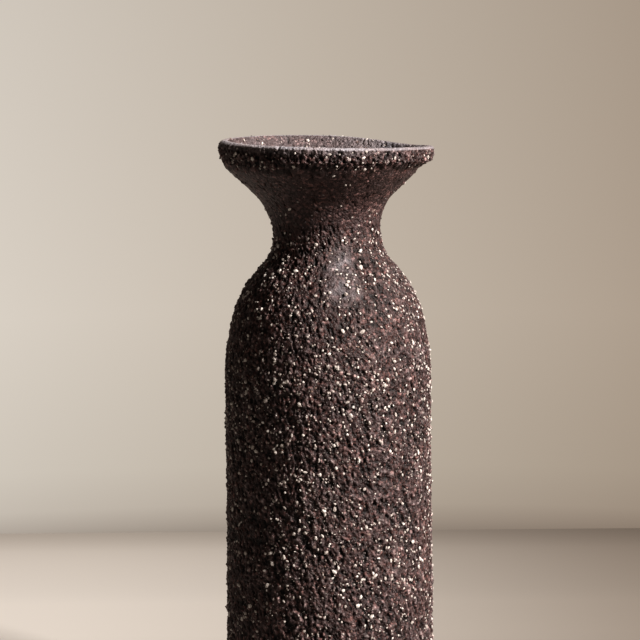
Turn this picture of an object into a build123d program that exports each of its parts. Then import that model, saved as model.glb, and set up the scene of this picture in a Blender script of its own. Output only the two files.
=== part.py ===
from build123d import *
import os
from math import copysign, cos, radians, sin, tan

# A stoneware vase, built in clay pieces that are keyed together at their seams.
# Millimetres.  +Z is up along the vase's axis.  The origin is the centre of the foot, on the surface
# that the vase stands on.  Every piece is a ring or a disc about the axis, so each is drawn as a flat
# section (x is the distance from the axis, y the height) and turned.
#
# A heading is the way the outer face runs as it is followed upwards, in degrees: 0 is straight out from
# the axis, 90 is straight up, and more than 90 leans in.  A positive turn is towards the axis.

# Overall sizes
HEIGHT = 281.0
WALL_THICKNESS = 5.5
GLAZE_THICKNESS = 0.5

# Foot and floor
FOOT_RADIUS = 43.2
FOOT_EDGE_RADIUS = 2.2
FOOT_EDGE_TURN = 70.0
FOOT_BEVEL_RADIUS = 16.0
RECESS_RADIUS = 36.5
RECESS_DEPTH = 1.2
RECESS_SLOPE_WIDTH = 1.8
SEAM_COIL_RADIUS = 7.0

# Body: two straight courses that lean in a little
WALL_HEADING = 90.4
COURSE_LENGTH = 85.1

# Shoulder: a slack round and then a tighter one
SLACK_RADIUS = 124.7
SLACK_TURN = 13.1
TIGHT_RADIUS = 51.1
TIGHT_TURN = 30.5

# Neck and mouth: hollow rounds up to the waist and out from it, and then a straight funnel
NECK_RADIUS = 18.8
WAIST_HEADING = 90.0
FLARE_RADIUS = 25.0
NECK_TOP_HEADING = 70.0
FUNNEL_HEADING = 43.9

# Rim band: it carries the funnel's underside on to a near upright outer face, which opens a little
# upwards, and a rounded lip
RIM_RADIUS = 46.3
RIM_HEIGHT = 9.2
RIM_UNDERSIDE_RISE = 2.3
RIM_SLOPE = 0.5
RIM_LIP_WIDTH = 3.3
RIM_CORNER_RADII = [0.8, 1.6, 1.2]

# Keyed seams: a ridge under the upper piece sits in a groove in the lower one
KEY_DEPTH = 1.5


def direction(heading):
    """Unit vector along a heading."""
    return Vector(cos(radians(heading)), sin(radians(heading)))


class Run:
    """A stretch of the section's outer face: straight if it has no turn, and otherwise round.

    Its size is its length if it is straight, and its radius if it is round.
    """

    def __init__(self, start, heading, size, turn=0.0):
        self.start = Vector(start)
        self.heading = heading
        self.size = size
        self.turn = turn
        self.end_heading = heading + turn
        self.end = self.edge(0.0) @ 1

    def edge(self, depth):
        """The line that keeps this depth behind the face, along the whole run."""
        start = self.start + direction(self.heading + 90.0) * depth
        if self.turn:
            radius = self.size - copysign(depth, self.turn)
            return JernArc(start, direction(self.heading), radius, self.turn)
        return Line(start, start + direction(self.heading) * self.size)


def next_run(run, size, turn=0.0):
    """The run that goes on smoothly from the end of another."""
    return Run(run.end, run.end_heading, size, turn)


# The outer face, from the foot up to the rim band
foot_edge = Run((FOOT_RADIUS, 0.0), 0.0, FOOT_EDGE_RADIUS, FOOT_EDGE_TURN)
foot_bevel = next_run(foot_edge, FOOT_BEVEL_RADIUS, WALL_HEADING - FOOT_EDGE_TURN)
lower_course = next_run(foot_bevel, COURSE_LENGTH)
upper_course = next_run(lower_course, COURSE_LENGTH)
slack_round = next_run(upper_course, SLACK_RADIUS, SLACK_TURN)
tight_round = next_run(slack_round, TIGHT_RADIUS, TIGHT_TURN)
neck_base = next_run(tight_round, NECK_RADIUS, WAIST_HEADING - tight_round.end_heading)
neck_top = next_run(neck_base, FLARE_RADIUS, NECK_TOP_HEADING - WAIST_HEADING)
flare_round = next_run(neck_top, FLARE_RADIUS, FUNNEL_HEADING - NECK_TOP_HEADING)
funnel_rise = HEIGHT - RIM_HEIGHT - flare_round.end.Y
funnel = next_run(flare_round, funnel_rise / sin(radians(FUNNEL_HEADING)))

# The inside of the floor and of the corner, from the axis out to the wall
inside_corner = lower_course.edge(WALL_THICKNESS) @ 0
corner_setback = SEAM_COIL_RADIUS * tan(radians(WALL_HEADING / 2))
floor_inside = Run((0.0, inside_corner.Y), 0.0, inside_corner.X - corner_setback)
coil_face = next_run(floor_inside, SEAM_COIL_RADIUS, WALL_HEADING)


def seam(run):
    """The keyed joint across the wall at a run's upper end, from the outer face to the inner one."""
    across = direction(run.end_heading + 90.0) * WALL_THICKNESS
    groove = run.end + across / 2 - direction(run.end_heading) * KEY_DEPTH
    return [Line(run.end, groove), Line(groove, run.end + across)]


def turned(edges):
    """The solid that a closed section makes when it is turned about the vase's axis."""
    return revolve(Plane.XZ * make_face(edges), Axis.Z)


def clay_ring(run_below, runs):
    """A ring of wall along some runs, keyed to what is below it and with a groove for what is above."""
    outer = [run.edge(0.0) for run in runs]
    inner = [run.edge(WALL_THICKNESS) for run in runs]
    return turned(outer + inner + seam(run_below) + seam(runs[-1]))


def floor_slab():
    """The base disc: a foot ring round a shallow recess, and the groove that the wall stands in."""
    underside = Polyline(
        foot_edge.start,
        (RECESS_RADIUS, 0.0),
        (RECESS_RADIUS - RECESS_SLOPE_WIDTH, RECESS_DEPTH),
        (0.0, RECESS_DEPTH),
        floor_inside.start,
        inside_corner,
    )
    return turned([underside, foot_edge.edge(0.0), foot_bevel.edge(0.0)] + seam(foot_bevel))


def floor_seam_coil():
    """The coil pressed into the inside corner, smoothed to a hollow face."""
    back = Polyline(coil_face.end, inside_corner, coil_face.start)
    return turned([coil_face.edge(0.0), back])


def rim_coil():
    """The thick band round the lip."""
    joint = seam(funnel)
    outline = FilletPolyline(
        funnel.end,
        (RIM_RADIUS - RIM_SLOPE, funnel.end.Y + RIM_UNDERSIDE_RISE),
        (RIM_RADIUS, HEIGHT),
        (RIM_RADIUS - RIM_LIP_WIDTH, HEIGHT),
        joint[-1] @ 1,
        radius=RIM_CORNER_RADII,
    )
    return turned([outline] + joint)


def liner_glaze():
    """The glaze skin on the floor, the coil and the wall, which ends at the neck's waist."""
    wall_top = upper_course.edge(WALL_THICKNESS) @ 1
    wall_inside = next_run(coil_face, (wall_top - coil_face.end).length)
    low_runs = [floor_inside, coil_face, wall_inside]
    high_runs = [slack_round, tight_round, neck_base]
    back = [run.edge(0.0) for run in low_runs] + [run.edge(WALL_THICKNESS) for run in high_runs]
    face = [run.edge(GLAZE_THICKNESS) for run in low_runs]
    face += [run.edge(WALL_THICKNESS + GLAZE_THICKNESS) for run in high_runs]
    on_axis = Line(back[0] @ 0, face[0] @ 0)
    top_edge = Line(back[-1] @ 1, face[-1] @ 1)
    return turned(back + face + [on_axis, top_edge])


pieces = {
    "floor_slab": floor_slab(),
    "floor_seam_coil": floor_seam_coil(),
    "lower_wall": clay_ring(foot_bevel, [lower_course]),
    "upper_wall": clay_ring(lower_course, [upper_course]),
    "shoulder": clay_ring(upper_course, [slack_round, tight_round]),
    "neck": clay_ring(tight_round, [neck_base, neck_top]),
    "mouth_flare": clay_ring(neck_top, [flare_round, funnel]),
    "rim_coil": rim_coil(),
    "liner_glaze": liner_glaze(),
}

os.makedirs("parts", exist_ok=True)
for name, piece in pieces.items():
    export_step(piece, f"parts/{name}.step")
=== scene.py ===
from itertools import product
from math import copysign, cos, pi, radians, sin, tan

import bpy
import numpy as np
from mathutils import Matrix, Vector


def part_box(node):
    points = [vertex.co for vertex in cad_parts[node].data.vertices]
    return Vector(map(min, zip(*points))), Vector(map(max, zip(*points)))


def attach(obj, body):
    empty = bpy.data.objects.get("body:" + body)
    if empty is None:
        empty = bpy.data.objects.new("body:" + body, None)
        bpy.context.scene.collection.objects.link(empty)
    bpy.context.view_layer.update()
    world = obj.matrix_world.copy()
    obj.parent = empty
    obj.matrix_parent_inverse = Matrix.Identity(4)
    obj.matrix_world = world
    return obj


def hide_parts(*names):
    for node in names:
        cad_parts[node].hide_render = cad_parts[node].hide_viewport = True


# A stoneware vase in rough grogged clay.  Each clay piece is a closed ring or disc that meets its
# neighbours along shared rows of points, so the rough skin runs on unbroken over the seams.  The grog
# is made of small crushed grains set into that skin.
#
# Lengths are millimetres until a mesh is made, and heights are measured from the table.  +X is the
# right, and +Y is the back.  A heading is the way a line of the section runs, in degrees: 0 is out
# from the axis and 90 is straight up.  A pair of numbers is a range.

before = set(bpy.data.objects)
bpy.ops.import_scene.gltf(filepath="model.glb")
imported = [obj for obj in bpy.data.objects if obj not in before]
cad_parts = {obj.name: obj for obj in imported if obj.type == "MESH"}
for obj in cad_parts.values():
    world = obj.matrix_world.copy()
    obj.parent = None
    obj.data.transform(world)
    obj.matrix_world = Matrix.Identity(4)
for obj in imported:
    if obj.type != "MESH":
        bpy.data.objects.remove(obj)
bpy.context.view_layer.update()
scene = bpy.context.scene
MM = 0.001

# ---- the section, as the frame's clay pieces have it ----
WALL_THICKNESS = 5.5
GLAZE_THICKNESS = 0.5
RECESS_RADIUS = 36.5
RECESS_SLOPE_WIDTH = 1.8
RECESS_DEPTH = 1.2
FOOT_RADIUS = 43.2
FOOT_EDGE_RADIUS = 2.2
FOOT_EDGE_TURN = 70.0
FOOT_BEVEL_RADIUS = 16.0
SEAM_COIL_RADIUS = 7.0
WALL_HEADING = 90.4
COURSE_LENGTH = 85.1
SLACK_RADIUS = 124.7
SLACK_TURN = 13.1
TIGHT_RADIUS = 51.1
TIGHT_TURN = 30.5
NECK_RADIUS = 18.8
WAIST_HEADING = 90.0
FLARE_RADIUS = 25.0
NECK_TOP_HEADING = 70.0
FUNNEL_HEADING = 43.9
RIM_RADIUS = 46.3
RIM_UNDERSIDE_RISE = 2.3
RIM_SLOPE = 0.5
RIM_LIP_WIDTH = 3.3
RIM_CORNER_RADII = (0.8, 1.6, 1.2)
KEY_DEPTH = 1.5

rim_low, rim_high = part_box("rim_coil")
HEIGHT = rim_high.z / MM
RIM_FOOT_Z = rim_low.z / MM

# ---- how finely the skin is made ----
COLUMNS = 576
STEP_OUTSIDE = 0.56
STEP_RIM = 0.4
STEP_INSIDE = 0.6
STEP_UNDERSIDE = 1.2
STEP_GLAZE = 2.6
STEP_COIL = 1.5
STEP_NECK_BACK = 2.0
STEP_HIDDEN = 8.0
STEP_FLOOR = 10.0
ONE_STEP = 1e9  # longer than any run


def direction(heading):
    """Unit vector along a heading."""
    return np.array([cos(radians(heading)), sin(radians(heading))])


class Run:
    """A straight (turn 0) or round stretch of the section, on its outer face.

    Its size is its length if it is straight, and its radius if it is round.
    """

    def __init__(self, start, heading, size, turn=0.0):
        self.start = np.array(start, dtype=float)
        self.heading = heading
        self.size = size
        self.turn = turn
        self.end_heading = heading + turn
        self.end = self.points(0.0, ONE_STEP)[-1]

    def points(self, depth, step):
        """Points along the run, this deep behind its face and about a step apart, with both ends."""
        length = abs(radians(self.turn)) * self.size if self.turn else self.size
        share = np.linspace(0.0, 1.0, max(1, int(np.ceil(length / step))) + 1)
        side = direction(self.heading + 90.0)
        if not self.turn:
            return self.start + side * depth + np.outer(share * self.size, direction(self.heading))
        centre = self.start + side * copysign(self.size, self.turn)
        radius = self.size - copysign(depth, self.turn)
        angles = np.radians(self.heading + 90.0 + self.turn * share)
        spokes = np.stack([np.cos(angles), np.sin(angles)], axis=1)
        return centre - spokes * copysign(radius, self.turn)


def next_run(run, size, turn=0.0):
    """The run that goes on smoothly from the end of another."""
    return Run(run.end, run.end_heading, size, turn)


def joined(lines):
    """Lines that follow one another, as one line without doubled points."""
    return np.concatenate([lines[0]] + [line[1:] for line in lines[1:]])


def along(runs, depth, step):
    """Points along several runs, this deep behind their faces."""
    return joined([run.points(depth, step) for run in runs])


def straight(corners, step):
    """A line of straight stretches, with points about a step apart."""
    lines = []
    for start, end in zip(corners[:-1], corners[1:]):
        count = max(1, int(np.ceil(np.linalg.norm(end - start) / step)))
        lines.append(start + np.outer(np.linspace(0.0, 1.0, count + 1), end - start))
    return joined(lines)


def rounded(corners, radii, step):
    """A line of straight stretches whose inner corners are rounded to these radii."""
    parts = []
    start = corners[0]
    for before, corner, after, radius in zip(corners[:-2], corners[1:-1], corners[2:], radii):
        way_in = (corner - before) / np.linalg.norm(corner - before)
        way_out = (after - corner) / np.linalg.norm(after - corner)
        turn = np.arctan2(way_in[0] * way_out[1] - way_in[1] * way_out[0], way_in @ way_out)
        setback = radius * tan(abs(turn) / 2)
        heading = np.degrees(np.arctan2(way_in[1], way_in[0]))
        bend = Run(corner - way_in * setback, heading, radius, np.degrees(turn))
        parts += [straight([start, bend.start], step), bend.points(0.0, step)]
        start = bend.end
    return joined(parts + [straight([start, corners[-1]], step)])


foot_edge = Run((FOOT_RADIUS, 0.0), 0.0, FOOT_EDGE_RADIUS, FOOT_EDGE_TURN)
foot_bevel = next_run(foot_edge, FOOT_BEVEL_RADIUS, WALL_HEADING - FOOT_EDGE_TURN)
lower_course = next_run(foot_bevel, COURSE_LENGTH)
upper_course = next_run(lower_course, COURSE_LENGTH)
slack_round = next_run(upper_course, SLACK_RADIUS, SLACK_TURN)
tight_round = next_run(slack_round, TIGHT_RADIUS, TIGHT_TURN)
neck_base = next_run(tight_round, NECK_RADIUS, WAIST_HEADING - tight_round.end_heading)
neck_top = next_run(neck_base, FLARE_RADIUS, NECK_TOP_HEADING - WAIST_HEADING)
flare_round = next_run(neck_top, FLARE_RADIUS, FUNNEL_HEADING - NECK_TOP_HEADING)
funnel = next_run(flare_round, (RIM_FOOT_Z - flare_round.end[1]) / sin(radians(FUNNEL_HEADING)))

inside_corner = lower_course.points(WALL_THICKNESS, STEP_HIDDEN)[0]
corner_setback = SEAM_COIL_RADIUS * tan(radians(WALL_HEADING / 2))
floor_inside = Run((0.0, inside_corner[1]), 0.0, inside_corner[0] - corner_setback)
coil_face = next_run(floor_inside, SEAM_COIL_RADIUS, WALL_HEADING)
wall_top_inside = upper_course.points(WALL_THICKNESS, STEP_HIDDEN)[-1]
wall_inside = next_run(coil_face, np.linalg.norm(wall_top_inside - coil_face.end))


def underside_line():
    """The face under the foot, from the axis out to the foot's edge, with its shallow recess."""
    corners = np.array([
        (0.0, RECESS_DEPTH),
        (RECESS_RADIUS - RECESS_SLOPE_WIDTH, RECESS_DEPTH),
        (RECESS_RADIUS, 0.0),
        (FOOT_RADIUS, 0.0),
    ])
    return straight(corners, STEP_UNDERSIDE)


def rim_line():
    """The rim band's skin, from the funnel's outer face over the lip to its inner face."""
    corners = np.array([
        funnel.end,
        (RIM_RADIUS - RIM_SLOPE, funnel.end[1] + RIM_UNDERSIDE_RISE),
        (RIM_RADIUS, HEIGHT),
        (RIM_RADIUS - RIM_LIP_WIDTH, HEIGHT),
        funnel.points(WALL_THICKNESS, STEP_HIDDEN)[-1],
    ])
    return rounded(corners, RIM_CORNER_RADII, STEP_RIM)


# ---- the skin: one line, from under the foot up the outside, over the lip and down inside ----
# each stretch bears the name of its clay piece
INSIDE = "_inside"
runs_of = {
    "lower_wall": [lower_course],
    "upper_wall": [upper_course],
    "shoulder": [slack_round, tight_round],
    "neck": [neck_base, neck_top],
    "mouth_flare": [flare_round, funnel],
}
underside = underside_line()
foot_side = along([foot_edge, foot_bevel], 0.0, STEP_OUTSIDE)
stretches = {"floor_slab": joined([underside, foot_side])}
for name, runs in runs_of.items():
    stretches[name] = along(runs, 0.0, STEP_OUTSIDE)
stretches["rim_coil"] = rim_line()
stretches["mouth_flare" + INSIDE] = along(runs_of["mouth_flare"], WALL_THICKNESS, STEP_INSIDE)[::-1]
stretches["neck" + INSIDE] = along([neck_top], WALL_THICKNESS, STEP_INSIDE)[::-1]
section = joined(list(stretches.values()))
ROWS = len(section)

row_range = {}
last_row = 0
for stretch, line in stretches.items():
    first_row = last_row
    last_row = first_row + len(line) - 1
    row_range[stretch] = (first_row, last_row)

lengths = np.linalg.norm(np.diff(section, axis=0), axis=1)
run_length = np.concatenate([[0.0], np.cumsum(lengths)])
tangent = np.gradient(section, axis=0)
tangent /= np.linalg.norm(tangent, axis=1)[:, None]
outward = np.stack([tangent[:, 1], -tangent[:, 0]], axis=1)
angle = np.arange(COLUMNS) * 2 * pi / COLUMNS


def spun(radius, height):
    """Points of a line spun about the axis: rows by columns by x, y, z."""
    x = np.outer(radius, np.cos(angle))
    y = np.outer(radius, np.sin(angle))
    z = np.repeat(np.asarray(height)[:, None], COLUMNS, axis=1)
    return np.stack([x, y, z], axis=2)


base = spun(section[:, 0], section[:, 1])
row_z = section[:, 1]


def eased(begin, full, value):
    """0 until the value reaches begin, 1 from full on, and smooth between, whichever is higher."""
    share = np.clip((value - begin) / (full - begin), 0.0, 1.0)
    return share * share * (3.0 - 2.0 * share)


def bell(middle, width, value):
    """1 at the middle, falling off smoothly to about a third this far from it."""
    return np.exp(-(((value - middle) / width) ** 2))


def lies_on(stretch, row):
    """Which of the rows lie on a stretch of the skin, if there is such a stretch."""
    first, last = row_range.get(stretch, (0, 0))
    return (row >= first) & (row < last)


# ---- what each row of the skin is ----
NECK_TO_FLARE_Z = (238.0, 250.0)
FACING_IN = -0.4
FACING_OUT = 0.6
LIP_FACING_UP = (0.15, 0.55)
BAND_TOP_Z = HEIGHT - 1.2
SMEAR_Z = (HEIGHT - 5.0, HEIGHT - 2.0)
# how pale the inside is painted: partly a paler surface, partly painted light from above
INSIDE_PALENESS = 0.37

all_rows = np.arange(ROWS)
is_under = all_rows < len(underside)
is_rim = (all_rows > row_range["rim_coil"][0]) & (all_rows < row_range["rim_coil"][1])
is_inside = (all_rows >= row_range["mouth_flare" + INSIDE][0]) | (is_rim & (outward[:, 0] < FACING_IN))
is_band = is_rim * (outward[:, 0] > FACING_OUT) * (row_z < BAND_TOP_Z)
neck_to_flare = lies_on("neck", all_rows) * eased(*NECK_TO_FLARE_Z, row_z)
is_flare = lies_on("mouth_flare", all_rows) + neck_to_flare
# the lip was wiped smooth, and its top is painted pale as a painted highlight; the inside is painted
# paler too, but less, partly as a paler surface and partly as painted light from above
painted_lip_highlight = is_rim * eased(*LIP_FACING_UP, outward[:, 1]) * ~is_inside
pale_and_painted_light_of_row = np.maximum(painted_lip_highlight, INSIDE_PALENESS * is_inside)
is_lip = painted_lip_highlight > 0.5
is_smeared = is_band * eased(*SMEAR_Z, row_z)


def by_kind(usual, under, inside, lip):
    """A value for each row: the usual one, but these under the foot, inside and on the lip."""
    values = np.array(usual)
    values[is_under] = under
    values[is_inside] = inside
    values[is_lip] = lip
    return values


def make_roughness():
    """How rough each row is: the shoulder, flare, foot, lip and inside are smoother than the body."""
    shoulder_z, shoulder_calm, flare_calm, blur = (180.0, 210.0), 0.19, 0.53, 2
    rough = 1.0 - shoulder_calm * eased(*shoulder_z, row_z) - flare_calm * is_flare
    rough = by_kind(rough, under=0.35, inside=0.45, lip=0.22)
    window = np.ones(2 * blur + 1) / (2 * blur + 1)
    return np.convolve(np.pad(rough, blur, mode="edge"), window, mode="valid")


roughness_of_row = make_roughness()

# ---- the relief ----
SLANT = 17.0
NOISE_LATTICE = 64
NOISE_AXIS = (1.0, 0.6, -0.8)
NOISE_TURN = (0.4, 1.2)
MARK_ROWS = 9
MARK_COLUMNS = 13
MARKS_AT_ONCE = 4000


def value_noise(points, size, seed):
    """Smooth noise from about -1 to 1 at points in space, with features of about this size."""
    rng = np.random.default_rng(seed)
    table = rng.uniform(-1.0, 1.0, (NOISE_LATTICE,) * 3).astype(np.float32)
    turn = np.array(Matrix.Rotation(rng.uniform(*NOISE_TURN), 3, NOISE_AXIS))
    spot = points @ turn / size
    cell = np.floor(spot)
    share = spot - cell
    share = share * share * (3.0 - 2.0 * share)
    cell = cell.astype(int)
    total = np.zeros(points.shape[:-1])
    for corner in product((0, 1), repeat=3):
        near = np.where(corner, share, 1.0 - share)
        index = (cell + corner) % NOISE_LATTICE
        weight = near[..., 0] * near[..., 1] * near[..., 2]
        total += weight * table[index[..., 0], index[..., 1], index[..., 2]]
    return total


def ripples(points, height, size, seed):
    """Smooth ups and downs of up to about this height, with features of about this size."""
    return height * value_noise(points, size, seed)


def twisted(points, slant, stretch):
    """Points turned as they rise and squeezed in height, so that noise there runs in slanted streaks."""
    turn = points[..., 2] * tan(radians(slant)) / RIM_RADIUS
    x = points[..., 0] * np.cos(turn) - points[..., 1] * np.sin(turn)
    y = points[..., 0] * np.sin(turn) + points[..., 1] * np.cos(turn)
    return np.stack([x, y, points[..., 2] / stretch], axis=-1)


def spots(seed, per_mm2, weight_of_row):
    """Random places on the skin, as rows and columns with fractions, and the generator they came from."""
    rng = np.random.default_rng(seed)
    radius = (section[:-1, 0] + section[1:, 0]) / 2
    area = lengths * 2 * pi * radius * (weight_of_row[:-1] + weight_of_row[1:]) / 2
    count = int(area.sum() * per_mm2)
    share = np.cumsum(area) / area.sum()
    row = np.searchsorted(share, rng.random(count))
    return row + rng.random(count), rng.random(count) * COLUMNS, rng


def press(skin, marks, edge):
    """Adds soft oval marks to the skin, sunk where their depth is under zero.

    Marks holds their rows, columns, long and short sizes, slants and depths.  The higher the edge,
    the steeper their sides.
    """
    step_row, step_column = np.meshgrid(
        np.arange(-MARK_ROWS, MARK_ROWS + 1),
        np.arange(-MARK_COLUMNS, MARK_COLUMNS + 1),
        indexing="ij",
    )
    for some in np.array_split(marks, max(1, marks.shape[1] // MARKS_AT_ONCE), axis=1):
        row, column, long_size, short_size, slant, depth = some[..., None, None]
        rows = np.round(row).astype(int) + step_row
        on_skin = (rows >= 0) & (rows < ROWS)
        rows = np.clip(rows, 0, ROWS - 1)
        columns = np.round(column).astype(int) + step_column
        up = run_length[rows] - np.interp(row, all_rows, run_length)
        across = (columns - column) * (2 * pi / COLUMNS) * section[rows, 0]
        along_mark = (up * np.cos(slant) - across * np.sin(slant)) / long_size
        across_mark = (up * np.sin(slant) + across * np.cos(slant)) / short_size
        distance = np.sqrt(along_mark**2 + across_mark**2)
        mark = np.exp(-(distance**edge)) * depth * on_skin
        np.add.at(skin, (rows.ravel(), (columns % COLUMNS).ravel()), mark.ravel())


def scatter_marks(skin, seed, per_mm2, weight, size, stretch, lean, spread, depth, side, edge):
    """Presses one kind of mark all over: lumps if side is 1, and pits if it is -1.

    Lean is the marks' mean slant, and spread is how much it varies.
    """
    row, column, rng = spots(seed, per_mm2, weight)
    count = len(row)
    short_size = rng.uniform(*size, count)
    long_size = short_size * rng.uniform(*stretch, count)
    slant = lean + rng.normal(0.0, spread, count)
    depths = side * rng.uniform(*depth, count)
    press(skin, np.stack([row, column, long_size, short_size, slant, depths]), edge)


def broad_relief():
    """The wall's slow swells and its faint throwing rings."""
    ring_height, ring_pitch = 0.05, 9.5
    swells = ripples(base, height=0.22, size=34.0, seed=1)
    swells += ripples(base, height=0.10, size=13.0, seed=2)
    wander = ripples(base, height=2.0, size=40.0, seed=3)
    return swells + ring_height * np.sin(row_z[:, None] * 2 * pi / ring_pitch + wander)


def streaked_relief():
    """Lumpy clay that is drawn out into leaning streaks low on the body."""
    rough = roughness_of_row[:, None]
    streaks_z = (215.0, 130.0)
    middle_lost, fine_lost = 0.6, 0.3
    drawn = eased(*streaks_z, base[..., 2]) * (0.75 + ripples(base, height=0.5, size=22.0, seed=15))
    drawn = np.clip(drawn, 0.0, 1.0) * rough
    middle_share = rough - middle_lost * drawn
    fine_share = rough - fine_lost * drawn
    lumps = ripples(base, height=0.07, size=4.6, seed=4) * rough
    lumps += ripples(twisted(base, SLANT, stretch=1.9), height=0.13, size=1.6, seed=5) * middle_share
    lumps += ripples(twisted(base, SLANT, stretch=1.4), height=0.17, size=0.85, seed=6) * fine_share
    streaks = ripples(twisted(base, SLANT + 6.0, stretch=4.2), height=0.27, size=1.0, seed=16)
    return lumps + streaks * drawn


def torn_cracks():
    """How deep the skin is torn, in patches low down, along cracks that lean as the clay was turned."""
    depth = 0.42
    torn_z = (215.0, 110.0)
    low_down = 0.9 * eased(*torn_z, base[..., 2])
    patches = ripples(base, height=0.6, size=26.0, seed=9) + low_down - 0.25
    cracks = value_noise(twisted(base, SLANT + 5.0, stretch=3.0), size=1.7, seed=8)
    patches = eased(0.0, 0.5, patches)
    return depth * eased(0.16, 0.6, cracks) * patches * roughness_of_row[:, None] ** 2


def flat_rings():
    """Fine flat rings under the flare, where a tool was held against it."""
    across_squeeze = np.array([0.12, 0.12, 1.0])
    return ripples(base * across_squeeze, height=0.08, size=1.5, seed=7) * is_flare[:, None]


def fine_relief():
    """The torn and lumpy skin, as height over its own mean."""
    fine = streaked_relief() - torn_cracks() + flat_rings()
    lean = radians(SLANT)
    rough = roughness_of_row**2
    gap_weight = is_band * eased(HEIGHT, HEIGHT - 4.0, row_z)
    # rounded lumps of clay over buried grains
    scatter_marks(fine, seed=11, per_mm2=0.9, weight=rough, size=(0.34, 0.66), stretch=(1.0, 1.8),
                  lean=lean, spread=0.5, depth=(0.08, 0.32), side=1.0, edge=2.6)
    # pits and torn grooves, slanted where the clay was drawn up as it turned
    scatter_marks(fine, seed=12, per_mm2=0.46, weight=rough, size=(0.30, 0.52), stretch=(1.0, 3.6),
                  lean=lean, spread=0.35, depth=(0.18, 0.60), side=-1.0, edge=2.4)
    # the rim's band is torn into upright lumps with deep gaps between them
    scatter_marks(fine, seed=13, per_mm2=0.62, weight=is_band, size=(0.30, 0.50), stretch=(1.4, 3.2),
                  lean=0.0, spread=0.18, depth=(0.10, 0.34), side=1.0, edge=2.8)
    scatter_marks(fine, seed=14, per_mm2=0.34, weight=gap_weight, size=(0.26, 0.40), stretch=(1.8, 4.0),
                  lean=0.0, spread=0.18, depth=(0.30, 0.75), side=-1.0, edge=2.8)
    return fine - fine.mean()


def make_relief(broad, fine):
    """How far the skin stands out from the section everywhere; under the foot it only goes in."""
    inset = 0.45
    broad_z, fine_z = (0.0, 12.0), (-1.0, 5.0)
    fine_underneath = 0.5
    broad_share = eased(*broad_z, row_z)
    broad_share[is_under] = 0.0
    fine_share = eased(*fine_z, row_z)
    fine_share[is_under] = fine_underneath
    # the skin's mean lies under the section but for the lip, so its high points reach the true size
    lip_share = eased(0.0, 0.5, outward[:, 1]) * is_rim
    inset_of_row = inset * broad_share * (1.0 - lip_share)
    relief = broad * broad_share[:, None] + fine * fine_share[:, None] - inset_of_row[:, None]
    relief[is_under] = np.minimum(relief[is_under], 0.0)
    return relief


fine = fine_relief()
relief = make_relief(broad_relief(), fine)

# ---- the vase's hand-made unevenness ----
SIDE_SHARE = (0.4, 1.0)
ON_RIM_RADIUS = (36.0, 39.0)
# nearer the axis than these, the side of a place and the push on it fade out
AXIS_RADIUS = 1.0
PUSH_RADIUS = 20.0


def out_of_round(turn, z):
    """How many times wider than the section the vase is, this way round; the foot stays round."""
    oval, oval_turn = 0.0045, 0.6
    three_sided, three_sided_turn = 0.003, 2.0
    free = eased(8.0, 60.0, z)
    uneven = oval * np.cos(2 * turn + oval_turn) + three_sided * np.cos(3 * turn + three_sided_turn)
    return 1.0 + free * uneven


def pushed_out(radius, to_right, z):
    """How far the wall is pushed out: it is drawn in at the body's middle and uneven at the rim."""
    right_side = eased(*SIDE_SHARE, to_right)
    left_side = eased(*SIDE_SHARE, -to_right)
    drawn_in = -0.45 * bell(138.0, 34.0, z)
    undercut = -0.9 * bell(271.2, 2.4, z) * right_side
    undercut += 0.7 * bell(271.6, 1.5, z) * left_side
    rolled_in = -1.3 * eased(278.4, 281.0, z) * left_side
    return drawn_in + (undercut + rolled_in) * eased(*ON_RIM_RADIUS, radius)


def off_axis(z):
    """How far the neck and the mouth sit off to the right."""
    shift = 0.35 * bell(228.0, 12.0, z) - 1.3 * eased(238.0, 258.0, z)
    return shift + 1.05 * eased(270.0, 274.0, z)


def lifted(turn, to_right, z):
    """How far the rim is lifted: it leans down and sags to the right, and dips at the back right."""
    lift = (1.2 - 1.15 * to_right) * eased(269.5, 274.0, z)
    lift -= 0.5 * eased(275.0, 280.0, z)
    lift -= 0.8 * ((1.0 + to_right) / 2) ** 14 * eased(274.0, 280.0, z)
    return lift - 1.9 * bell(0.65, 0.5, turn) * eased(269.5, 276.0, z)


def bent(points):
    """Points of the true section, moved as the hand-made vase is uneven."""
    x, y, z = points[..., 0], points[..., 1], points[..., 2]
    turn = np.arctan2(y, x)
    radius = np.hypot(x, y)
    to_right = x / np.maximum(radius, AXIS_RADIUS)
    push = pushed_out(radius, to_right, z)
    share = out_of_round(turn, z) + push / np.maximum(radius, PUSH_RADIUS)
    return np.stack([x * share + off_axis(z), y * share, z + lifted(turn, to_right, z)], axis=-1)


# ---- how pale and how dark each place is ----


def painted_sheen_patch():
    """Where a pale sheen is painted on at the base of the neck, from 0 to 1."""
    middle_z, half_height = 229.0, 13.0
    middle_turn, edge = -1.38, (0.94, 1.0)
    up = np.exp(-(((row_z - middle_z) / half_height) ** 4))
    sheen_patch = up[:, None] * eased(*edge, np.cos(angle - middle_turn))[None]
    sheen_patch[is_inside] = 0.0
    return sheen_patch


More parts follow.
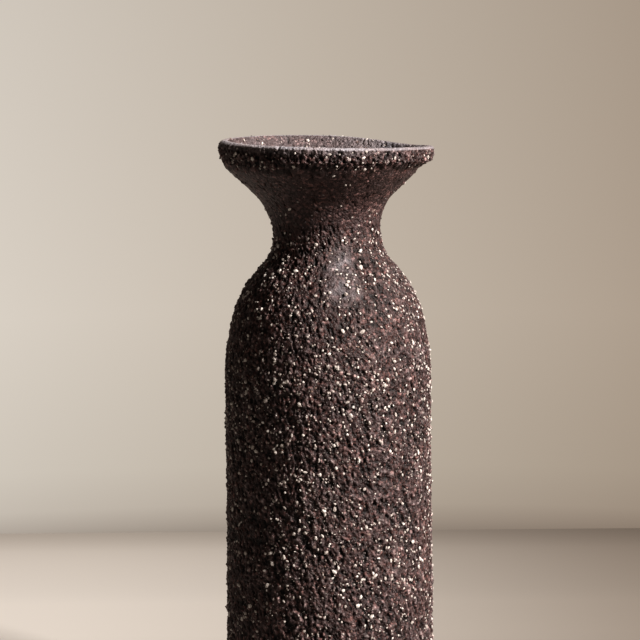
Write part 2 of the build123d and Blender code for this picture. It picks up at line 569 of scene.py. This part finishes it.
def make_paleness_and_painted_light(sheen_patch):
    """How pale each place is painted: painted highlight, painted light and painted sheen, and the band's
    pale streaks, with painted shade on the lit right.
    """
    to_right = np.cos(angle)[None]
    inside = is_inside[:, None]
    # the lip's painted highlight, painted less pale towards the lit right as painted shade, and the paler
    # inside
    pale_and_painted_light = pale_and_painted_light_of_row[:, None] * (1.0 - 0.22 * eased(0.1, 0.8, to_right) * ~inside)
    # painted light inside, paler towards the right, where the inside faces away from the light
    pale_and_painted_light += 0.50 * inside * eased(-0.2, 0.8, to_right)
    # the band's pale streaks at its top, painted less pale towards the lit right as painted shade
    smear = is_smeared[:, None] * (0.50 - 0.42 * eased(0.2, 0.9, to_right))
    # the painted sheen at the neck's base
    uneven_sheen_patch = 0.50 * sheen_patch * (0.8 + ripples(base, height=0.6, size=1.6, seed=10))
    return np.maximum(np.maximum(pale_and_painted_light, smear), uneven_sheen_patch)


def make_tone_and_painted_shade():
    """The clay's tone, lighter on high places and darker in the pits as painted shade; the upper body is
    painted a little darker as shade, the flare lighter.
    """
    # painted shade: the upper body, shoulder and neck are darkened where less light falls and the flare
    # shades the neck
    painted_shade = 0.04 * eased(140.0, 180.0, row_z)
    painted_shade += 0.07 * eased(195.0, 218.0, row_z)
    painted_shade *= eased(252.0, 240.0, row_z)
    return fine - painted_shade[:, None] + 0.05 * is_flare[:, None]


SHEEN_PATCH_FLATTENS = 0.6
NEARLY_ZERO = 1e-9
sheen_patch = painted_sheen_patch()
pale_and_painted_light = make_paleness_and_painted_light(sheen_patch)
tone = make_tone_and_painted_shade()
relief -= SHEEN_PATCH_FLATTENS * sheen_patch * fine

normal = spun(outward[:, 0], outward[:, 1])
skin = bent(base + normal * relief[..., None])
skin[..., 2] = np.maximum(skin[..., 2], 0.0)
skin_across = np.roll(skin, -1, axis=1) - np.roll(skin, 1, axis=1)
skin_normal = np.cross(skin_across, np.gradient(skin, axis=0))
skin_normal /= np.maximum(np.linalg.norm(skin_normal, axis=2), NEARLY_ZERO)[..., None]

# ---- meshes ----
LOOKS = 5
HIDDEN_MAP_SHARE = 0.12


def new_object(name, points, corners, faces_at, smooth, uvs=None, layers=(), normals=None):
    """A mesh object from arrays of points, face corners and where each face's corners start."""
    mesh = bpy.data.meshes.new(name)
    mesh.vertices.add(len(points))
    mesh.vertices.foreach_set("co", (points * MM).astype(np.float32).ravel())
    mesh.loops.add(len(corners))
    mesh.loops.foreach_set("vertex_index", corners.astype(np.int32))
    mesh.polygons.add(len(faces_at))
    mesh.polygons.foreach_set("loop_start", faces_at.astype(np.int32))
    mesh.polygons.foreach_set("use_smooth", smooth)
    if uvs is not None:
        layer = mesh.uv_layers.new(name="OFBake")
        layer.data.foreach_set("uv", uvs.astype(np.float32).ravel())
    for layer_name, values in layers:
        layer = mesh.attributes.new(layer_name, "FLOAT", "POINT")
        layer.data.foreach_set("value", values.astype(np.float32))
    mesh.update(calc_edges=True)
    mesh.validate()
    if normals is not None:
        mesh.normals_split_custom_set_from_vertices(normals)
    piece = bpy.data.objects.new(name, mesh)
    scene.collection.objects.link(piece)
    return piece


def map_heights(rows, hidden, closed):
    """How far up the bake map each row is, and the map's end; hidden faces get little room."""
    gaps = np.linalg.norm(np.roll(rows[:, 0], -1, axis=0) - rows[:, 0], axis=1)
    gaps[hidden] *= HIDDEN_MAP_SHARE
    heights = np.concatenate([[0.0], np.cumsum(gaps)])
    return heights / (heights[-1] if closed else heights[-2])


def band_faces(low_row, high_row, v_low, v_high, pole):
    """Corners and map places of the faces between two rows, and how many corners each face has.

    A row at a pole is one point, so the faces there are triangles.
    """
    columns = np.arange(COLUMNS)
    ahead = (columns + 1) % COLUMNS
    u_low, u_high = columns / COLUMNS, (columns + 1) / COLUMNS
    u_middle = (u_low + u_high) / 2
    low, high = low_row * COLUMNS, high_row * COLUMNS
    v_low, v_high = np.full(COLUMNS, v_low), np.full(COLUMNS, v_high)
    index = [low + columns, low + ahead, high + ahead, high + columns]
    uv = [(u_low, v_low), (u_high, v_low), (u_high, v_high), (u_low, v_high)]
    if pole == "low":
        index = [np.full(COLUMNS, low), index[2], index[3]]
        uv = [(u_middle, v_low), uv[2], uv[3]]
    if pole == "high":
        index = [index[0], index[1], np.full(COLUMNS, high)]
        uv = [uv[0], uv[1], (u_middle, v_high)]
    uv = np.stack([np.stack(pair, axis=1) for pair in uv], axis=1)
    return np.stack(index, axis=1).ravel(), uv.reshape(-1, 2), len(index)


def without_poles(points, looks, corners):
    """The same solid with one point at each pole instead of a whole row of them."""
    keep = np.ones(len(points), dtype=bool)
    keep[1:COLUMNS] = False
    keep[1 - COLUMNS:] = False
    renumber = np.cumsum(keep) - 1
    return points[keep], looks[keep], renumber[corners]


def solid_of_rows(name, rows, looks, hidden, closed):
    """A solid from rows that run round its section: a ring if closed, or a disc with two poles."""
    count = len(rows)
    v = map_heights(rows, hidden, closed)
    corners, uvs, starts, smooth = [], [], [], []
    at = 0
    for i in range(count if closed else count - 1):
        pole = None if closed else {0: "low", count - 2: "high"}.get(i)
        band, band_uvs, face_size = band_faces(i, (i + 1) % count, v[i], v[i + 1], pole)
        corners.append(band)
        uvs.append(band_uvs)
        starts.append(at + np.arange(COLUMNS) * face_size)
        smooth.append(np.full(COLUMNS, not hidden[i]))
        at += COLUMNS * face_size
    points = rows.reshape(-1, 3)
    looks = looks.reshape(-1, LOOKS)
    corners = np.concatenate(corners)
    if not closed:
        points, looks, corners = without_poles(points, looks, corners)
    layers = [("tone", looks[:, 0]), ("pale_and_painted_light", looks[:, 1])]
    return new_object(name, points, corners, np.concatenate(starts), np.concatenate(smooth),
                      np.concatenate(uvs), layers, looks[:, 2:])


def skin_part(stretch):
    """A stretch of the skin, as a solid's part: rows, looks (tone, paleness with painted light, normal),
    and not hidden.
    """
    first, last = row_range[stretch]
    rows = slice(first, last + 1)
    return skin[rows], np.dstack([tone[rows], pale_and_painted_light[rows], skin_normal[rows]]), False


def plain_part(line):
    """A line that the skin covers or a neighbour hides, as a part: smooth, but bent like the rest."""
    rows = bent(spun(line[:, 0], line[:, 1]))
    return rows, np.zeros(rows.shape[:2] + (LOOKS,)), True


def groove(run):
    """The row at the bottom of the keyed seam at a run's upper end."""
    middle = run.end + direction(run.end_heading + 90.0) * WALL_THICKNESS / 2
    return plain_part((middle - direction(run.end_heading) * KEY_DEPTH)[None])


def assembled(name, parts, closed=True):
    """A solid from parts that follow one another round its section."""
    rows = np.concatenate([rows for rows, looks, hidden in parts])
    looks = np.concatenate([looks for rows, looks, hidden in parts])
    # the faces after a hidden row are hidden, and so are the faces that lead to one
    covered = np.concatenate([np.full(len(rows), hidden) for rows, looks, hidden in parts])
    covered = covered | np.roll(covered, -1)
    return solid_of_rows(name, rows, looks, covered, closed)


def wall_ring(name, run_below):
    """A ring of wall: skin outside, and a face behind the glaze inside."""
    runs = runs_of[name]
    back = plain_part(along(runs, WALL_THICKNESS, STEP_HIDDEN)[::-1])
    parts = [skin_part(name), groove(runs[-1]), back, groove(run_below)]
    return assembled(f"{name}_clay", parts)


def neck_ring():
    """The neck: skin outside, and inside down to the glaze's edge at the waist."""
    back = along([neck_base], WALL_THICKNESS, STEP_NECK_BACK)[::-1]
    return assembled("neck_clay", [
        skin_part("neck"),
        groove(neck_top),
        skin_part("neck" + INSIDE),
        plain_part(back[1:]),
        groove(tight_round),
    ])


def flare_ring():
    """The funnel of the mouth, bare clay on both sides."""
    inside = skin_part("mouth_flare" + INSIDE)
    parts = [skin_part("mouth_flare"), groove(funnel), inside, groove(neck_top)]
    return assembled("mouth_flare_clay", parts)


def rim_ring():
    """The thick band round the lip."""
    return assembled("rim_coil_clay", [skin_part("rim_coil"), groove(funnel)])


def floor_disc():
    """The base, with its foot ring and recess, and the floor under the glaze."""
    floor = plain_part(straight([inside_corner, floor_inside.start], STEP_FLOOR))
    parts = [skin_part("floor_slab"), groove(foot_bevel), floor]
    return assembled("floor_slab_clay", parts, closed=False)


def seam_coil():
    """The coil in the corner between floor and wall, under the glaze."""
    face = plain_part(coil_face.points(0.0, STEP_COIL))
    return assembled("floor_seam_coil_clay", [face, plain_part(inside_corner[None])])


def glaze_skin():
    """The liner glaze: its back follows the clay, and its face pools and waves a little."""
    calm_radius = 6.0
    low_runs = [floor_inside, coil_face, wall_inside]
    high_runs = [slack_round, tight_round, neck_base]
    face = joined([
        along(low_runs, GLAZE_THICKNESS, STEP_GLAZE),
        along(high_runs, WALL_THICKNESS + GLAZE_THICKNESS, STEP_GLAZE),
    ])
    back = joined([along(low_runs, 0.0, STEP_HIDDEN), along(high_runs, WALL_THICKNESS, STEP_GLAZE)])
    face_rows = spun(face[:, 0], face[:, 1])
    wave = ripples(face_rows, height=0.14, size=9.0, seed=21)
    wave += ripples(face_rows, height=0.08, size=3.5, seed=22)
    wave *= np.minimum(1.0, face[:, 0] / calm_radius)[:, None]
    slope = np.gradient(face, axis=0)
    slope /= np.linalg.norm(slope, axis=1)[:, None]
    inward = spun(-slope[:, 1], slope[:, 0])
    face_rows = bent(face_rows + inward * wave[..., None])
    looks = np.zeros(face_rows.shape[:2] + (LOOKS,))
    parts = [(face_rows[::-1], looks, False), plain_part(back)]
    return assembled("liner_glaze_coat", parts, closed=False)


clay_pieces = {
    "lower_wall": wall_ring("lower_wall", foot_bevel),
    "upper_wall": wall_ring("upper_wall", lower_course),
    "shoulder": wall_ring("shoulder", upper_course),
    "neck": neck_ring(),
    "mouth_flare": flare_ring(),
    "rim_coil": rim_ring(),
    "floor_slab": floor_disc(),
    "floor_seam_coil": seam_coil(),
}
glaze_coat = glaze_skin()

# ---- grog grains ----
GROG_PER_MM2 = 0.60
OUT_PULL = 1.6


def grain_shape():
    """Corners and faces of the twenty-sided solid that every grain starts from."""
    bpy.ops.mesh.primitive_ico_sphere_add(subdivisions=1, radius=1.0)
    ball = bpy.context.object
    mesh = ball.data
    points = np.array([vertex.co[:] for vertex in mesh.vertices])
    faces = np.array([face.vertices[:] for face in mesh.polygons])
    bpy.data.objects.remove(ball)
    bpy.data.meshes.remove(mesh)
    return points, faces


BALL_POINTS, BALL_FACES = grain_shape()


def unit(vectors):
    """Vectors made one long."""
    return vectors / np.linalg.norm(vectors, axis=1)[:, None]


def skin_at(row, column):
    """Points on the skin, and their frames (up, across, out), at places between rows and columns."""
    low_row = np.clip(np.floor(row).astype(int), 0, ROWS - 2)
    left = np.floor(column).astype(int)
    up_share = (row - low_row)[:, None]
    right_share = (column - left)[:, None]
    left = left % COLUMNS
    right = (left + 1) % COLUMNS
    low = skin[low_row, left] * (1 - right_share) + skin[low_row, right] * right_share
    high = skin[low_row + 1, left] * (1 - right_share) + skin[low_row + 1, right] * right_share
    point = low * (1 - up_share) + high * up_share
    low_across = skin[low_row, right] - skin[low_row, left]
    high_across = skin[low_row + 1, right] - skin[low_row + 1, left]
    across = low_across * (1 - up_share) + high_across * up_share
    up = unit(high - low)
    # a grain faces mostly straight out from the section, and a little as the rough skin tilts
    out = unit(unit(np.cross(across, up)) + OUT_PULL * normal[low_row, left])
    up = unit(up - out * np.sum(up * out, axis=1)[:, None])
    return point, up, np.cross(up, out), out


def grain_uvs(count):
    """A cell of the bake map for each grain: upper faces in its left half, lower ones in its right."""
    half, u_scale, v_scale = 0.5, 0.22, 0.45
    side = int(np.ceil(np.sqrt(count)))
    flat = BALL_POINTS[BALL_FACES]
    is_lower = flat[:, :, 2].mean(axis=1) < 0.0
    u = half / 2 + u_scale * flat[:, :, 0] + half * is_lower[:, None]
    v = half + v_scale * flat[:, :, 1]
    cell = np.stack([np.arange(count) % side, np.arange(count) // side], axis=1)
    return ((cell[:, None, None] + np.stack([u, v], axis=2)[None]) / side).reshape(-1, 2)


def grains(name, row, column, size, tone, sunk, rng):
    """Crushed grains set into the skin, each an uneven twenty-sided solid with one tone.

    Sunk says how deep each lies: at 0.5 its middle is on the skin, and the higher, the deeper.
    """
    length, width, thickness = (0.85, 1.35), (0.65, 1.0), (0.4, 0.7)
    unevenness = (0.72, 1.15)
    count = len(row)
    corners_each = len(BALL_POINTS)
    point, up, across, out = skin_at(row, column)
    spin = rng.uniform(0.0, 2 * pi, count)
    cos_spin, sin_spin = np.cos(spin)[:, None], np.sin(spin)[:, None]
    first = up * cos_spin + across * sin_spin
    second = across * cos_spin - up * sin_spin
    scale = [size * rng.uniform(*measure, count) for measure in (length, width, thickness)]
    scale = np.stack(scale, axis=1) / 2
    jitter = rng.uniform(*unevenness, (count, corners_each, 1))
    local = BALL_POINTS[None] * jitter * scale[:, None, :]
    centre = point + out * (scale[:, 2] * (0.5 - sunk))[:, None]
    points = centre[:, None] + local[..., :1] * first[:, None] + local[..., 1:2] * second[:, None]
    points = points + local[..., 2:] * out[:, None]
    points[..., 2] = np.maximum(points[..., 2], 0.0)
    corners = (BALL_FACES[None] + (np.arange(count) * corners_each)[:, None, None]).ravel()
    starts = np.arange(count * len(BALL_FACES)) * 3
    smooth = np.zeros(len(starts), dtype=bool)
    layers = [("tone", np.repeat(tone, corners_each))]
    return new_object(name, points.reshape(-1, 3), corners, starts, smooth, grain_uvs(count), layers)


def grog_weights():
    """How thickly each row is set with grog, where the upper body is 1."""
    flare_least, flare_more, flare_z = 0.04, 0.3, (262.0, 242.0)
    body_least, body_more, body_z = 0.82, 0.18, (130.0, 190.0)
    band = 0.55
    flare = flare_least + flare_more * eased(*flare_z, row_z)
    weight = by_kind(np.where(is_flare > 0.5, flare, 1.0), under=0.3, inside=0.35, lip=0.05)
    weight[is_band > 0.5] = band
    by_height = body_least + body_more * eased(*body_z, row_z)
    return np.where(is_under, weight, weight * by_height)


def scatter_grog():
    """All the grog, as one object for each clay piece that shows it."""
    pale_tone = (0.70, 0.85)
    usual_size, size_spread, pale_growth, size_limits = 0.78, 0.34, 0.40, (0.45, 2.2)
    sunk_range, pale_rise = (-0.05, 0.65), 0.3
    row, column, rng = spots(31, GROG_PER_MM2, grog_weights())
    # they lie thicker in some places than in others
    place = base[np.clip(row.astype(int), 0, ROWS - 1), column.astype(int)]
    thick = 0.62 + ripples(place, height=0.55, size=7.0, seed=32)
    thick += ripples(place, height=0.25, size=30.0, seed=33)
    kept = rng.random(len(row)) < thick
    row, column = row[kept], column[kept]
    count = len(row)
    tone = rng.random(count)
    # the palest grains are larger and stand out more
    pale = eased(*pale_tone, tone)
    size = np.exp(rng.normal(np.log(usual_size), size_spread, count)) * (1.0 + pale_growth * pale)
    size = np.clip(size, *size_limits)
    sunk = rng.uniform(*sunk_range, count) - pale_rise * pale
    made = {}
    for name in row_range:
        if not name.endswith(INSIDE):
            here = lies_on(name, row) | lies_on(name + INSIDE, row)
            made[name] = grains(f"{name}_grog", row[here], column[here], size[here],
                                tone[here], sunk[here], rng)
    return made


grog_pieces = scatter_grog()

# ---- material helpers ----


def new_material(name):
    """A new material with its node tree, its shader and the place on the object that is shaded."""
    material = bpy.data.materials.new(name)
    material.use_nodes = True
    tree = material.node_tree
    place = tree.nodes.new("ShaderNodeTexCoord").outputs["Object"]
    return material, tree, tree.nodes["Principled BSDF"], place


def feed(tree, socket, value):
    """Sets a socket to a number or a colour, or links it to another node's output."""
    if isinstance(value, (int, float)):
        socket.default_value = value
    elif isinstance(value, tuple):
        socket.default_value = (*value, 1.0)
    else:
        tree.links.new(value, socket)


def node(tree, kind, **values):
    """A new node; each value sets a property of the node, or else feeds the input of that name."""
    made = tree.nodes.new(kind)
    for key, value in values.items():
        if hasattr(made, key):
            setattr(made, key, value)
        else:
            feed(tree, made.inputs[key], value)
    return made


def noise(tree, place, scale, detail, roughness):
    values = {"Vector": place, "Scale": scale, "Detail": detail, "Roughness": roughness}
    return node(tree, "ShaderNodeTexNoise", **values).outputs["Fac"]


def attribute(tree, name):
    return node(tree, "ShaderNodeAttribute", attribute_name=name).outputs["Fac"]


def ramp(tree, source, stops, blend="LINEAR"):
    """Colours along a value: stops are (position, (r, g, b))."""
    made = node(tree, "ShaderNodeValToRGB", Fac=source)
    made.color_ramp.interpolation = blend
    elements = made.color_ramp.elements
    while len(elements) < len(stops):
        elements.new(0.5)
    for element, (position, colour) in zip(elements, stops):
        element.position = position
        element.color = (*colour, 1.0)
    return made.outputs["Color"]


def math_node(tree, operation, *values):
    made = node(tree, "ShaderNodeMath", operation=operation)
    for socket, value in zip(made.inputs, values):
        feed(tree, socket, value)
    return made.outputs["Value"]


def blended(tree, a, b, factor=1.0, blend="MULTIPLY"):
    """One colour times another, or mixed with it, as far as the factor says."""
    made = node(tree, "ShaderNodeMix", data_type="RGBA", blend_type=blend)
    sockets = {socket.identifier: socket for socket in [*made.inputs, *made.outputs]}
    feed(tree, sockets["Factor_Float"], factor)
    feed(tree, sockets["A_Color"], a)
    feed(tree, sockets["B_Color"], b)
    return sockets["Result_Color"]


def mapped(tree, value, begin, end, to=(0.0, 1.0), kind="LINEAR"):
    """A value stretched from one range to another, and held at the ends."""
    ranges = {"From Min": begin, "From Max": end, "To Min": to[0], "To Max": to[1]}
    made = node(tree, "ShaderNodeMapRange", interpolation_type=kind, Value=value, **ranges)
    return made.outputs["Result"]


def axes(tree, source):
    """The x, y and z of a vector output."""
    return tuple(node(tree, "ShaderNodeSeparateXYZ", Vector=source).outputs)


def bumped(tree, shader, height, strength, distance):
    """Fine relief in the shading, for what is too small for the mesh."""
    bump = node(tree, "ShaderNodeBump", Strength=strength, Distance=distance, Height=height)
    tree.links.new(bump.outputs["Normal"], shader.inputs["Normal"])


# ---- materials ----


def clay_colour(tree, place, grit, granules):
    """Dark in the pits as painted shade, greyer on high places, pale on the band's streaks and where
    painted highlight, sheen and light lie, with grains of many tones.
    """
    contrast, middle, speckle_strength = 0.95, 0.42, 0.8
    height = math_node(tree, "MULTIPLY_ADD", attribute(tree, "tone"), contrast, middle)
    pale_and_painted_light_in = attribute(tree, "pale_and_painted_light")
    speckle = math_node(tree, "MULTIPLY", math_node(tree, "SUBTRACT", grit, 0.5), speckle_strength)
    # the darkest stops are painted shade in the pits
    bare = ramp(tree, math_node(tree, "ADD", height, speckle), [
        (0.0, (0.0068, 0.0027, 0.0023)),
        (0.36, (0.042, 0.0215, 0.0195)),
        (0.72, (0.096, 0.064, 0.063)),
        (1.0, (0.210, 0.166, 0.163)),
    ])
    # the pale colour of the painted lip highlight, the painted sheen, the painted light inside and the
    # band's pale streaks
    pale = ramp(tree, grit, [
        (0.30, (0.184, 0.170, 0.180)),
        (0.50, (0.36, 0.340, 0.360)),
        (0.72, (0.61, 0.585, 0.610)),
    ])
    colour = blended(tree, bare, pale, math_node(tree, "MULTIPLY", pale_and_painted_light_in, pale_and_painted_light_in), "MIX")
    channels = node(tree, "ShaderNodeSeparateColor", Color=granules.outputs["Color"]).outputs
    grain_tone = ramp(tree, channels["Red"], [
        (0.0, (0.42, 0.40, 0.40)), (0.45, (0.80, 0.79, 0.79)), (0.75, (1.25, 1.24, 1.23)),
        (0.90, (2.1, 2.05, 2.02)), (1.0, (3.4, 3.2, 3.1)),
    ])
    colour = blended(tree, colour, grain_tone, math_node(tree, "SUBTRACT", 1.0, pale_and_painted_light_in))
    patch = noise(tree, place, scale=90.0, detail=3.0, roughness=0.55)
    warm = ramp(tree, patch, [(0.35, (0.94, 0.97, 0.99)), (0.65, (1.08, 1.0, 0.97))])
    return blended(tree, colour, warm)


def clay_material():
    """Bare chocolate stoneware."""
    material, tree, shader, place = new_material("bare_clay")
    grit = noise(tree, place, scale=1500.0, detail=3.0, roughness=0.7)
    granules = node(tree, "ShaderNodeTexVoronoi", Vector=place, Scale=950.0)
    tree.links.new(clay_colour(tree, place, grit, granules), shader.inputs["Base Color"])
    tree.links.new(mapped(tree, grit, 0.0, 1.0, to=(0.34, 0.64)), shader.inputs["Roughness"])
    shader.inputs["Specular IOR Level"].default_value = 0.36
    mound = math_node(tree, "MULTIPLY", granules.outputs["Distance"], -0.9)
    coarse_grit = noise(tree, place, scale=700.0, detail=2.0, roughness=0.6)
    grains_height = math_node(tree, "ADD", math_node(tree, "ADD", grit, mound), coarse_grit)
    bumped(tree, shader, grains_height, strength=0.9, distance=0.00045)
    return material


def grog_material():
    """Crushed fired grains: white and cream, some pink, rust and grey, with a thin film of clay."""
    material, tree, shader, place = new_material("grog_grains")
    colour = ramp(tree, attribute(tree, "tone"), [
        (0.0, (0.062, 0.043, 0.042)), (0.40, (0.12, 0.095, 0.093)), (0.60, (0.20, 0.165, 0.158)),
        (0.66, (0.25, 0.165, 0.135)), (0.72, (0.34, 0.295, 0.27)), (0.86, (0.56, 0.50, 0.455)),
        (1.0, (0.86, 0.81, 0.755)),
    ])
    smears = noise(tree, place, scale=1100.0, detail=3.0, roughness=0.65)
    film = ramp(tree, smears, [(0.34, (0.40, 0.34, 0.32)), (0.52, (1.0, 1.0, 1.0))])
    tree.links.new(blended(tree, colour, film, 0.75), shader.inputs["Base Color"])
    shader.inputs["Roughness"].default_value = 0.7
    shader.inputs["Specular IOR Level"].default_value = 0.4
    pores = noise(tree, place, scale=2600.0, detail=2.0, roughness=0.6)
    bumped(tree, shader, pores, strength=0.3, distance=0.00015)
    return material


def glaze_material():
    """Glossy dark brown liner glaze, lighter in some patches than in others."""
    material, tree, shader, place = new_material("liner_glaze_gloss")
    pool = noise(tree, place, scale=140.0, detail=4.0, roughness=0.55)
    colour = ramp(tree, pool, [
        (0.3, (0.020, 0.012, 0.009)),
        (0.55, (0.055, 0.030, 0.018)),
        (0.75, (0.12, 0.066, 0.036)),
    ])
    tree.links.new(colour, shader.inputs["Base Color"])
    sheen = noise(tree, place, scale=420.0, detail=3.0, roughness=0.6)
    tree.links.new(mapped(tree, sheen, 0.0, 1.0, to=(0.14, 0.34)), shader.inputs["Roughness"])
    waves = noise(tree, place, scale=260.0, detail=2.0, roughness=0.5)
    bumped(tree, shader, waves, strength=0.12, distance=0.0005)
    return material


clay = clay_material()
grog = grog_material()
gloss = glaze_material()

for node_name, piece in clay_pieces.items():
    piece.data.materials.append(clay)
    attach(piece, "root")
    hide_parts(node_name)
for piece in grog_pieces.values():
    piece.data.materials.append(grog)
    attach(piece, "root")
glaze_coat.data.materials.append(gloss)
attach(glaze_coat, "root")
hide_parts("liner_glaze")

# ---- table, light and camera (metres from here on) ----
TABLE_BACK = 0.383
TABLE_FRONT = -0.95
TABLE_HALF_WIDTH = 1.0
TABLE_SHADE_X = (-0.31, 0.31)
TABLE_SHADE_FRONT = -0.043
LENS = 100.0
CAMERA_PLACE = (-0.0034, -0.764, 0.3278)
CAMERA_PITCH = 9.185
CAMERA_ROLL = -0.5
KEY_AIM_HEIGHT = 0.17
KEY_AZIMUTH = 62.0
KEY_ELEVATION = 32.0
KEY_DISTANCE = 2.0
KEY_SIZE = 0.5
KEY_WATTS = 85.0
KEY_COLOUR = (1.0, 0.94, 0.90)
# how strong the glow from above, behind and the right is, and the range of the direction's z, y or x
# over which it sets in
GLOW_ABOVE, GLOW_ABOVE_Z = 0.14, (0.2, 0.95)
GLOW_BEHIND, GLOW_BEHIND_Y = 0.4, (0.5, 0.97)
GLOW_RIGHT, GLOW_RIGHT_X = 0.05, (-0.1, 0.95)
GLOW_ALL = 0.006
GLOW_COLOUR = (1.0, 0.82, 0.70)
WALL_SHADE_X = (-0.19, 0.19)
WALL_SHADE_Z = (-0.275, 0.025)


def table_material():
    """Pale matte stone, with painted shade: darker towards the right, in front and along its back edge.
    """
    material, tree, shader, place = new_material("pale_table")
    x, y, z = axes(tree, place)
    across = mapped(tree, x, *TABLE_SHADE_X, kind="SMOOTHSTEP")
    # painted shade: the table darkens towards the right
    colour = ramp(tree, across, [(0.0, (0.74, 0.71, 0.66)), (1.0, (0.178, 0.150, 0.121))])
    shade = ramp(tree, mapped(tree, y, TABLE_SHADE_FRONT, TABLE_BACK), [
        (0.0, (0.46, 0.46, 0.46)), (0.52, (1.0, 1.0, 1.0)), (0.70, (0.95, 0.95, 0.95)),
        (0.90, (0.82, 0.81, 0.80)), (1.0, (0.58, 0.56, 0.54)),
    ], "CARDINAL")
    tree.links.new(blended(tree, colour, shade), shader.inputs["Base Color"])
    shader.inputs["Roughness"].default_value = 0.8
    return material


def make_table():
    """The pale table top that the vase stands on."""
    left, right = -TABLE_HALF_WIDTH, TABLE_HALF_WIDTH
    corners = [(left, TABLE_FRONT), (right, TABLE_FRONT), (right, TABLE_BACK), (left, TABLE_BACK)]
    points = np.array([(x, y, 0.0) for x, y in corners]) / MM
    table = new_object("table_top", points, np.arange(len(points)), np.array([0]), [False])
    table.data.materials.append(table_material())


def wall_colour(tree, x, z):
    """The pale wall, with painted shade: darker towards the right and just above the table."""
    wall = ramp(tree, mapped(tree, x, *WALL_SHADE_X), [
        (0.0, (0.60, 0.55, 0.49)),
        (0.5, (0.49, 0.43, 0.365)),
        (1.0, (0.375, 0.31, 0.25)),
    ])
    shade = ramp(tree, mapped(tree, z, *WALL_SHADE_Z), [
        (0.0, (0.56, 0.54, 0.53)), (0.02, (0.68, 0.66, 0.65)), (0.05, (0.82, 0.81, 0.80)),
        (0.12, (0.91, 0.91, 0.90)), (0.40, (1.0, 1.0, 1.0)), (1.0, (0.92, 0.92, 0.92)),
    ])
    return blended(tree, wall, shade)


def glow_strength(tree, x, y, z):
    """A soft glow from above, behind and the right, and a little from all round."""
    above = mapped(tree, z, *GLOW_ABOVE_Z, to=(0.0, GLOW_ABOVE), kind="SMOOTHSTEP")
    behind = mapped(tree, y, *GLOW_BEHIND_Y, to=(0.0, GLOW_BEHIND), kind="SMOOTHSTEP")
    right = mapped(tree, x, *GLOW_RIGHT_X, to=(0.0, GLOW_RIGHT), kind="SMOOTHSTEP")
    total = math_node(tree, "ADD", math_node(tree, "ADD", above, behind), right)
    return math_node(tree, "ADD", total, GLOW_ALL)


def make_world():
    """A wall for the camera to see, and a glow to light the vase."""
    world = bpy.data.worlds.new("room")
    scene.world = world
    world.use_nodes = True
    tree = world.node_tree
    tree.nodes.clear()
    x, y, z = axes(tree, tree.nodes.new("ShaderNodeTexCoord").outputs["Generated"])
    strength = glow_strength(tree, x, y, z)
    glow = node(tree, "ShaderNodeBackground", Color=GLOW_COLOUR, Strength=strength)
    seen = node(tree, "ShaderNodeBackground", Color=wall_colour(tree, x, z))
    ray = tree.nodes.new("ShaderNodeLightPath")
    choose = node(tree, "ShaderNodeMixShader", Fac=ray.outputs["Is Camera Ray"])
    tree.links.new(glow.outputs[0], choose.inputs[1])
    tree.links.new(seen.outputs[0], choose.inputs[2])
    node(tree, "ShaderNodeOutputWorld", Surface=choose.outputs[0])


def make_key_light():
    """The window: a soft light from the right, in front of the vase and above it."""
    lamp = bpy.data.lights.new("key", "AREA")
    lamp.size = KEY_SIZE
    lamp.energy = KEY_WATTS
    lamp.color = KEY_COLOUR
    light = bpy.data.objects.new("key", lamp)
    around = Matrix.Rotation(radians(KEY_AZIMUTH), 4, "Z")
    down = Matrix.Rotation(pi / 2 - radians(KEY_ELEVATION), 4, "X")
    target = Matrix.Translation((0.0, 0.0, KEY_AIM_HEIGHT))
    light.matrix_world = target @ around @ down @ Matrix.Translation((0.0, 0.0, KEY_DISTANCE))
    light.visible_camera = False
    scene.collection.objects.link(light)


def make_camera():
    """The camera, in front of the vase and a little above its rim, looking slightly down."""
    lens = bpy.data.cameras.new("camera")
    lens.lens = LENS
    camera = bpy.data.objects.new("camera", lens)
    tilt = Matrix.Rotation(radians(90.0 - CAMERA_PITCH), 4, "X")
    roll = Matrix.Rotation(radians(CAMERA_ROLL), 4, "Z")
    camera.matrix_world = Matrix.Translation(CAMERA_PLACE) @ tilt @ roll
    scene.collection.objects.link(camera)
    scene.camera = camera


for leftover in ("Cube", "Light", "Camera"):
    if leftover in bpy.data.objects:
        bpy.data.objects.remove(bpy.data.objects[leftover])
make_table()
make_world()
make_key_light()
make_camera()
scene.view_settings.view_transform = "Standard"
scene.view_settings.look = "Medium High Contrast"
